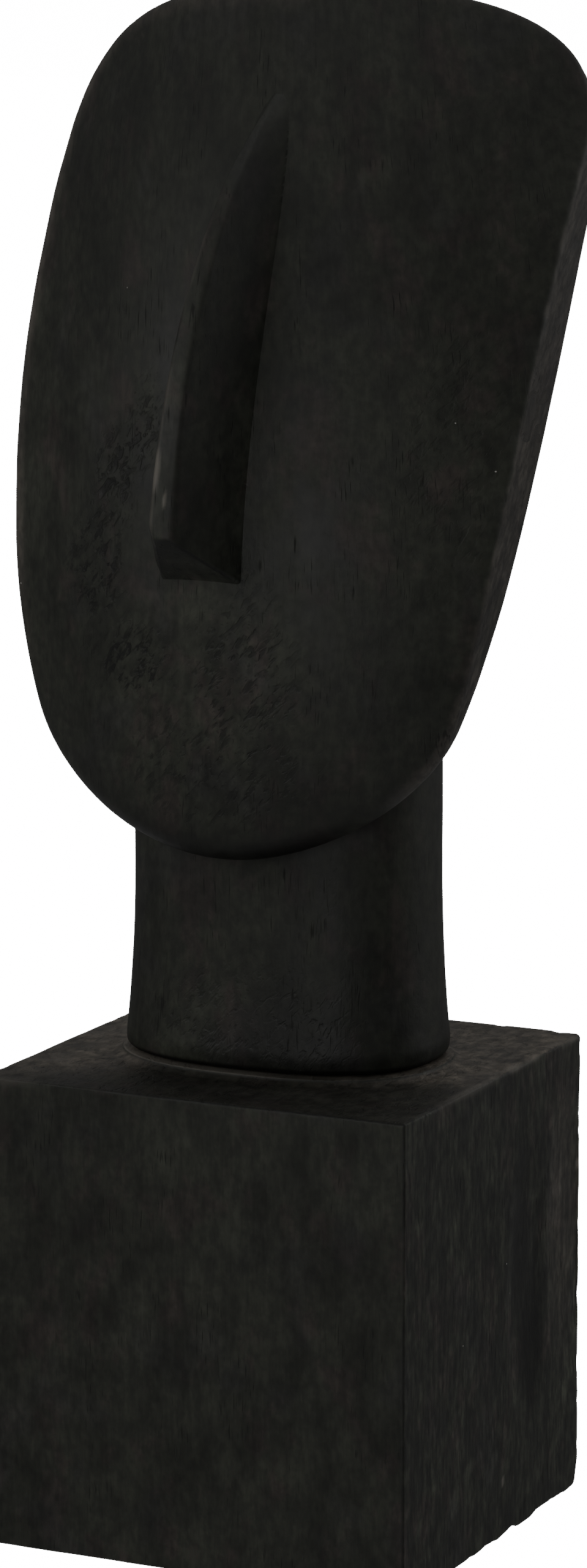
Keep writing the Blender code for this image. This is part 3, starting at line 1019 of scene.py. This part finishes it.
def plinth_painted_light(points, right, top):
    """Painted light and shade on the block: its right lighter, darker in the wane's dip and on
    the top's front.
    """
    y, z = points[:, 1], points[:, 2]
    dip_shade = strongest(points, *PAINTED_SHADE_DIPS)
    band = strongest(points, PAINTED_LIGHT_BAND_TONE)
    # Painted highlight by the front edge of the block's right
    front_edge_highlight = fall(0.0010, 0.0065, y + BLOCK_DEPTH / 2)
    tone_and_painted_light = 0.5 + right * (0.07 + 0.14 * front_edge_highlight + 0.34 * band - dip_shade)
    above = rise(BLOCK_HEIGHT - 0.0010, BLOCK_HEIGHT + 0.0002, z)
    return tone_and_painted_light - 0.20 * np.maximum(top, above) * shadowed_front_of_top(points)


# Materials

class Nodes:
    """Short ways to add nodes to a material or to the world."""

    def __init__(self, tree):
        self.nodes = tree.nodes
        self.links = tree.links

    def put(self, value, socket):
        """Sets a socket to a number or colour, or links it to another node's output."""
        if isinstance(value, bpy.types.NodeSocket):
            self.links.new(value, socket)
        else:
            socket.default_value = value

    def fill(self, node, **inputs):
        """Sets or links a node's inputs by name, with _ for a space."""
        for name, value in inputs.items():
            self.put(value, node.inputs[name.replace("_", " ")])

    def math(self, operation, *values):
        """One sum on values or numbers."""
        node = self.nodes.new("ShaderNodeMath")
        node.operation = operation
        for socket, value in zip(node.inputs, values):
            self.put(value, socket)
        return node.outputs["Value"]

    def times(self, *values):
        """The product of two values, plus the third where there is one."""
        return self.math("MULTIPLY" if len(values) == 2 else "MULTIPLY_ADD", *values)

    def window(self, value, low, high, lowest=0.0, highest=1.0, shape="SMOOTHSTEP"):
        """Maps low to high onto lowest to highest."""
        ramp = self.nodes.new("ShaderNodeMapRange")
        ramp.interpolation_type = shape
        self.fill(ramp, From_Min=low, From_Max=high, To_Min=lowest, To_Max=highest, Value=value)
        return ramp.outputs["Result"]


class WoodNodes(Nodes):
    """Nodes of one wood, whose noises follow the grain stored on the mesh."""

    def __init__(self, tree, seed):
        super().__init__(tree)
        self.seed = seed
        self.place = self.stored("grain", "Vector")

    def stored(self, attribute, output="Fac"):
        """A share, or a place, stored on the mesh."""
        node = self.nodes.new("ShaderNodeAttribute")
        node.attribute_name = attribute
        return node.outputs[output]

    def frame(self, size, lean=0.0):
        """Coordinates in lumps of a size, in metres, with their upright leaned to the right."""
        mapping = self.nodes.new("ShaderNodeMapping")
        mapping.vector_type = "TEXTURE"
        start = (self.seed, self.seed * 2, self.seed * 3)
        turn = (0.0, math.radians(lean), 0.0)
        self.fill(mapping, Location=start, Rotation=turn, Scale=size, Vector=self.place)
        return mapping.outputs["Vector"]

    def noise(self, size, detail, rough, lean=0.0, bend=0.0):
        """Soft noise from 0 to 1, mostly between 0.3 and 0.7."""
        texture = self.nodes.new("ShaderNodeTexNoise")
        self.fill(texture, Scale=1.0, Detail=detail, Roughness=rough, Distortion=bend)
        self.fill(texture, Vector=self.frame(size, lean))
        return texture.outputs["Fac"]

    def specks(self, cell, radius):
        """1 inside small scattered grains, 0 elsewhere."""
        texture = self.nodes.new("ShaderNodeTexVoronoi")
        self.fill(texture, Scale=1.0, Vector=self.frame((cell, cell, cell)))
        return self.window(texture.outputs["Distance"], radius / cell, radius / cell * 0.5)

    def blend(self, share, below, above, way="MIX"):
        """Mixes two colours, or multiplies the first by the second."""
        mix = self.nodes.new("ShaderNodeMix")
        mix.data_type = "RGBA"
        mix.blend_type = way
        colours = [socket for socket in mix.inputs if socket.type == "RGBA"]
        for value, socket in zip((share, below, above), (mix.inputs[0], *colours)):
            self.put(value, socket)
        return [socket for socket in mix.outputs if socket.type == "RGBA"][0]

    def grey(self, value):
        """A grey colour of that brightness."""
        node = self.nodes.new("ShaderNodeCombineColor")
        self.fill(node, Red=value, Green=value, Blue=value)
        return node.outputs["Color"]


def cut_marks(wood, fibre):
    """Shares of pores, of tool marks, of the crests between those, and of pits."""
    pitted = wood.stored("pitted")
    hair = wood.noise((0.00060, 0.0013, 0.0080), 1.0, 0.5)
    grit = wood.noise((0.0013, 0.0016, 0.0016), 2.0, 0.6)
    gouge = wood.noise((0.0021, 0.0060, 0.0050), 2.5, 0.58, lean=TOOL_LEAN, bend=0.4)
    cluster = wood.noise((0.0060, 0.0120, 0.0085), 2.0, 0.55, lean=TOOL_LEAN)
    porous = wood.window(wood.noise((0.013, 0.020, 0.026), 2.0, 0.5), 0.50, 0.64)
    porous = wood.math("MAXIMUM", wood.times(fibre, 0.45), porous)
    pores = wood.times(wood.window(hair, 0.595, 0.72), porous)
    carved = wood.times(pitted, wood.window(cluster, 0.36, 0.54, 0.25, 1.0))
    gouges = wood.times(wood.window(gouge, 0.50, 0.64), carved)
    crests = wood.times(wood.window(gouge, 0.46, 0.34), carved)
    pits = wood.times(wood.window(grit, 0.58, 0.72), wood.times(pitted, 0.7, 0.10))
    return pores, gouges, crests, pits


def stain_hue(wood, on_end):
    """The stain's colour before it is made lighter or darker."""
    cloud = wood.noise((0.040, 0.040, 0.055), 3.0, 0.55)
    warm = wood.noise((0.016, 0.016, 0.024), 4.0, 0.65)
    cool = wood.noise((0.026, 0.026, 0.030), 2.0, 0.5)
    hue = wood.blend(wood.window(cloud, 0.35, 0.65), STAIN_DEEP, STAIN_THIN)
    hue = wood.blend(wood.window(warm, 0.52, 0.64, 0.0, 0.7), hue, STAIN_WARM)
    hue = wood.blend(wood.window(cool, 0.54, 0.66, 0.0, 0.45), hue, STAIN_COOL)
    # Rubbed-thin stain, and painted highlight on the head's rims and on a band of the block's
    # right
    hue = wood.blend(wood.times(wood.stored("rubbed_and_lit"), 0.6), hue, STAIN_RUBBED_AND_LIT)
    if on_end:
        hue = wood.blend(wood.times(on_end, 0.85), hue, STAIN_ON_END_GRAIN)
    return hue


def stain_level(wood, on_end, blotch, fleck, streak, fibre, crests):
    """How light the stain is: mottled, flecked, streaked along the fibres, and as marked, with
    painted light and shade.
    """
    strand = wood.noise((0.0036, 0.0064, 0.0150), 4.0, 0.65)
    level = wood.window(blotch, 0.30, 0.70, 0.70, 1.30)
    if on_end:
        patches = wood.noise((0.0050, 0.0055, 0.0050), 4.0, 0.68)
        patches = wood.times(wood.window(patches, 0.35, 0.65, -0.34, 0.34), on_end)
        level = wood.times(level, wood.math("ADD", patches, 1.0))
    level = wood.times(level, wood.window(fleck, 0.30, 0.70, 0.74, 1.26))
    level = wood.times(level, wood.times(crests, 0.35, 1.0))
    for field, strength in ((streak, 0.60), (strand, 0.50)):
        layer = wood.window(field, 0.32, 0.68, -strength, strength)
        level = wood.times(level, wood.times(layer, fibre, 1.0))
    # The stored tone carries painted light and shade
    return wood.times(level, wood.times(wood.stored("tone_and_painted_light"), 1.6, 0.2))


def black_stained_wood(name, seed, end_grain=False):
    """Open-grained wood under a thin black stain; pores, tool marks, dust, wear, painted light
    and shade.
    """
    material = bpy.data.materials.new(name)
    material.use_nodes = True
    wood = WoodNodes(material.node_tree, seed)
    fibre = wood.stored("fibre")
    on_end = wood.stored("end_grain") if end_grain else None
    blotch = wood.noise((0.012, 0.012, 0.020), 4.0, 0.62)
    fleck = wood.noise((0.0030, 0.0040, 0.0042), 3.0, 0.6)
    streak = wood.noise((0.0011, 0.0021, 0.0085), 3.0, 0.6)
    pores, gouges, crests, pits = cut_marks(wood, fibre)
    holes = wood.math("MAXIMUM", pores, pits)

    level = stain_level(wood, on_end, blotch, fleck, streak, fibre, crests)
    stain = wood.blend(1.0, stain_hue(wood, on_end), wood.grey(level), "MULTIPLY")
    dark = wood.math("MAXIMUM", wood.times(holes, 0.68), wood.times(gouges, 0.94))
    if end_grain:
        # Painted shade along the block's front edges
        dark = wood.math("MAXIMUM", dark, wood.times(wood.stored("edge_shade"), 0.85))
    stain = wood.blend(dark, stain, HOLE_AND_SHADE_COLOUR)
    # Bared wood, and painted glints and highlights
    stain = wood.blend(wood.stored("bare_and_highlight"), stain, BARE_WOOD_AND_HIGHLIGHT)
    stain = wood.blend(wood.specks(DUST_SPACING, DUST_RADIUS), stain, DUST)
    shader = wood.nodes["Principled BSDF"]
    rough = wood.times(holes, 0.2, wood.window(blotch, 0.3, 0.7, 0.50, 0.64))

    height = wood.times(pores, PORE_BUMP)
    height = wood.times(gouges, GOUGE_BUMP, height)
    height = wood.times(pits, PIT_BUMP, height)
    height = wood.times(wood.times(streak, fibre), STREAK_BUMP, height)
    height = wood.times(fleck, FLECK_BUMP, height)
    bump = wood.nodes.new("ShaderNodeBump")
    wood.fill(bump, Strength=1.0, Distance=1.0, Height=height)
    wood.fill(shader, Base_Color=stain, Roughness=rough, Specular_IOR_Level=0.25)
    wood.fill(shader, Normal=bump.outputs["Normal"])
    return material


def floor_material():
    """A plain pale, matt studio floor."""
    material = bpy.data.materials.new("pale_floor")
    material.use_nodes = True
    floor = Nodes(material.node_tree)
    shader = floor.nodes["Principled BSDF"]
    floor.fill(shader, Base_Color=FLOOR_COLOUR, Roughness=0.9, Specular_IOR_Level=0.1)
    floor.fill(shader, Emission_Color=WHITE, Emission_Strength=FLOOR_GLOW)
    return material


# Camera, floor and light

def add_camera():
    """The camera at the photograph's angle and distance."""
    azimuth = math.radians(CAMERA_AZIMUTH)
    elevation = math.radians(CAMERA_ELEVATION)
    back = Vector((
        math.sin(azimuth) * math.cos(elevation),
        -math.cos(azimuth) * math.cos(elevation),
        math.sin(elevation),
    ))
    right = Vector((math.cos(azimuth), math.sin(azimuth), 0.0))
    data = bpy.data.cameras.new("camera")
    data.lens = LENS_MM
    data.sensor_width = SENSOR_MM
    data.clip_start = CLIP_START
    camera = bpy.data.objects.new("camera", data)
    bpy.context.scene.collection.objects.link(camera)
    turn = Matrix((right, back.cross(right), back)).transposed()
    place = Vector(CAMERA_TARGET) + back * CAMERA_DISTANCE
    camera.matrix_world = Matrix.Translation(place) @ turn.to_4x4()
    bpy.context.scene.camera = camera


def add_floor():
    """A wide pale floor."""
    bpy.ops.mesh.primitive_plane_add(size=FLOOR_SIZE, location=(0.0, 0.0, FLOOR_DROP))
    floor = bpy.context.active_object
    floor.name = "studio_floor"
    floor.data.materials.append(floor_material())
    floor.visible_diffuse = False
    floor.visible_glossy = False


def add_lamp(name, place, size, power):
    """A soft rectangular light that faces the object."""
    data = bpy.data.lights.new(name, "AREA")
    data.shape = "RECTANGLE"
    data.size, data.size_y = size
    data.energy = power
    light = bpy.data.objects.new(name, data)
    bpy.context.scene.collection.objects.link(light)
    light.location = place
    direction = Vector(LIT_POINT) - Vector(place)
    light.rotation_euler = direction.to_track_quat("-Z", "Y").to_euler()


def add_surround():
    """A white surround, brightest below, dimmest at the horizon, and an even white to the
    camera.
    """
    world = bpy.data.worlds.new("studio")
    bpy.context.scene.world = world
    world.use_nodes = True
    sky = Nodes(world.node_tree)
    split = sky.nodes.new("ShaderNodeSeparateXYZ")
    sky.fill(split, Vector=sky.nodes.new("ShaderNodeTexCoord").outputs["Generated"])
    up = split.outputs["Z"]
    side = sky.window(up, -AMBIENT_TURN, AMBIENT_TURN, AMBIENT_BELOW, AMBIENT_ABOVE, "LINEAR")
    ambient = sky.times(sky.times(up, up), side, AMBIENT_LEVEL)
    sight = sky.nodes.new("ShaderNodeMix")
    seen = sky.nodes.new("ShaderNodeLightPath").outputs["Is Camera Ray"]
    sky.fill(sight, Factor=seen, A=ambient, B=BACKDROP)
    sky.fill(sky.nodes["Background"], Color=WHITE, Strength=sight.outputs["Result"])


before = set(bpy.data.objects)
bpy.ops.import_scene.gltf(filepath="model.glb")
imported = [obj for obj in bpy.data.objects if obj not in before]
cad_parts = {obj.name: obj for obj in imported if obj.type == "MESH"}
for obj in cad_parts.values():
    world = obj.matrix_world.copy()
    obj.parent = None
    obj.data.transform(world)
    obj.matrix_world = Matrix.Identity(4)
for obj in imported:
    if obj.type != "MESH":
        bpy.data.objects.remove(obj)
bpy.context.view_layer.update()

head = carve_head()
head.data.materials.append(black_stained_wood("stained_head_wood", 1.3))
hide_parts("head")
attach(head, "root")

plinth = carve_plinth()
plinth.data.materials.append(black_stained_wood("stained_plinth_wood", 4.1, end_grain=True))
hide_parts("plinth")
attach(plinth, "root")

add_floor()
add_camera()
add_surround()
for lamp in LAMPS:
    add_lamp(*lamp)
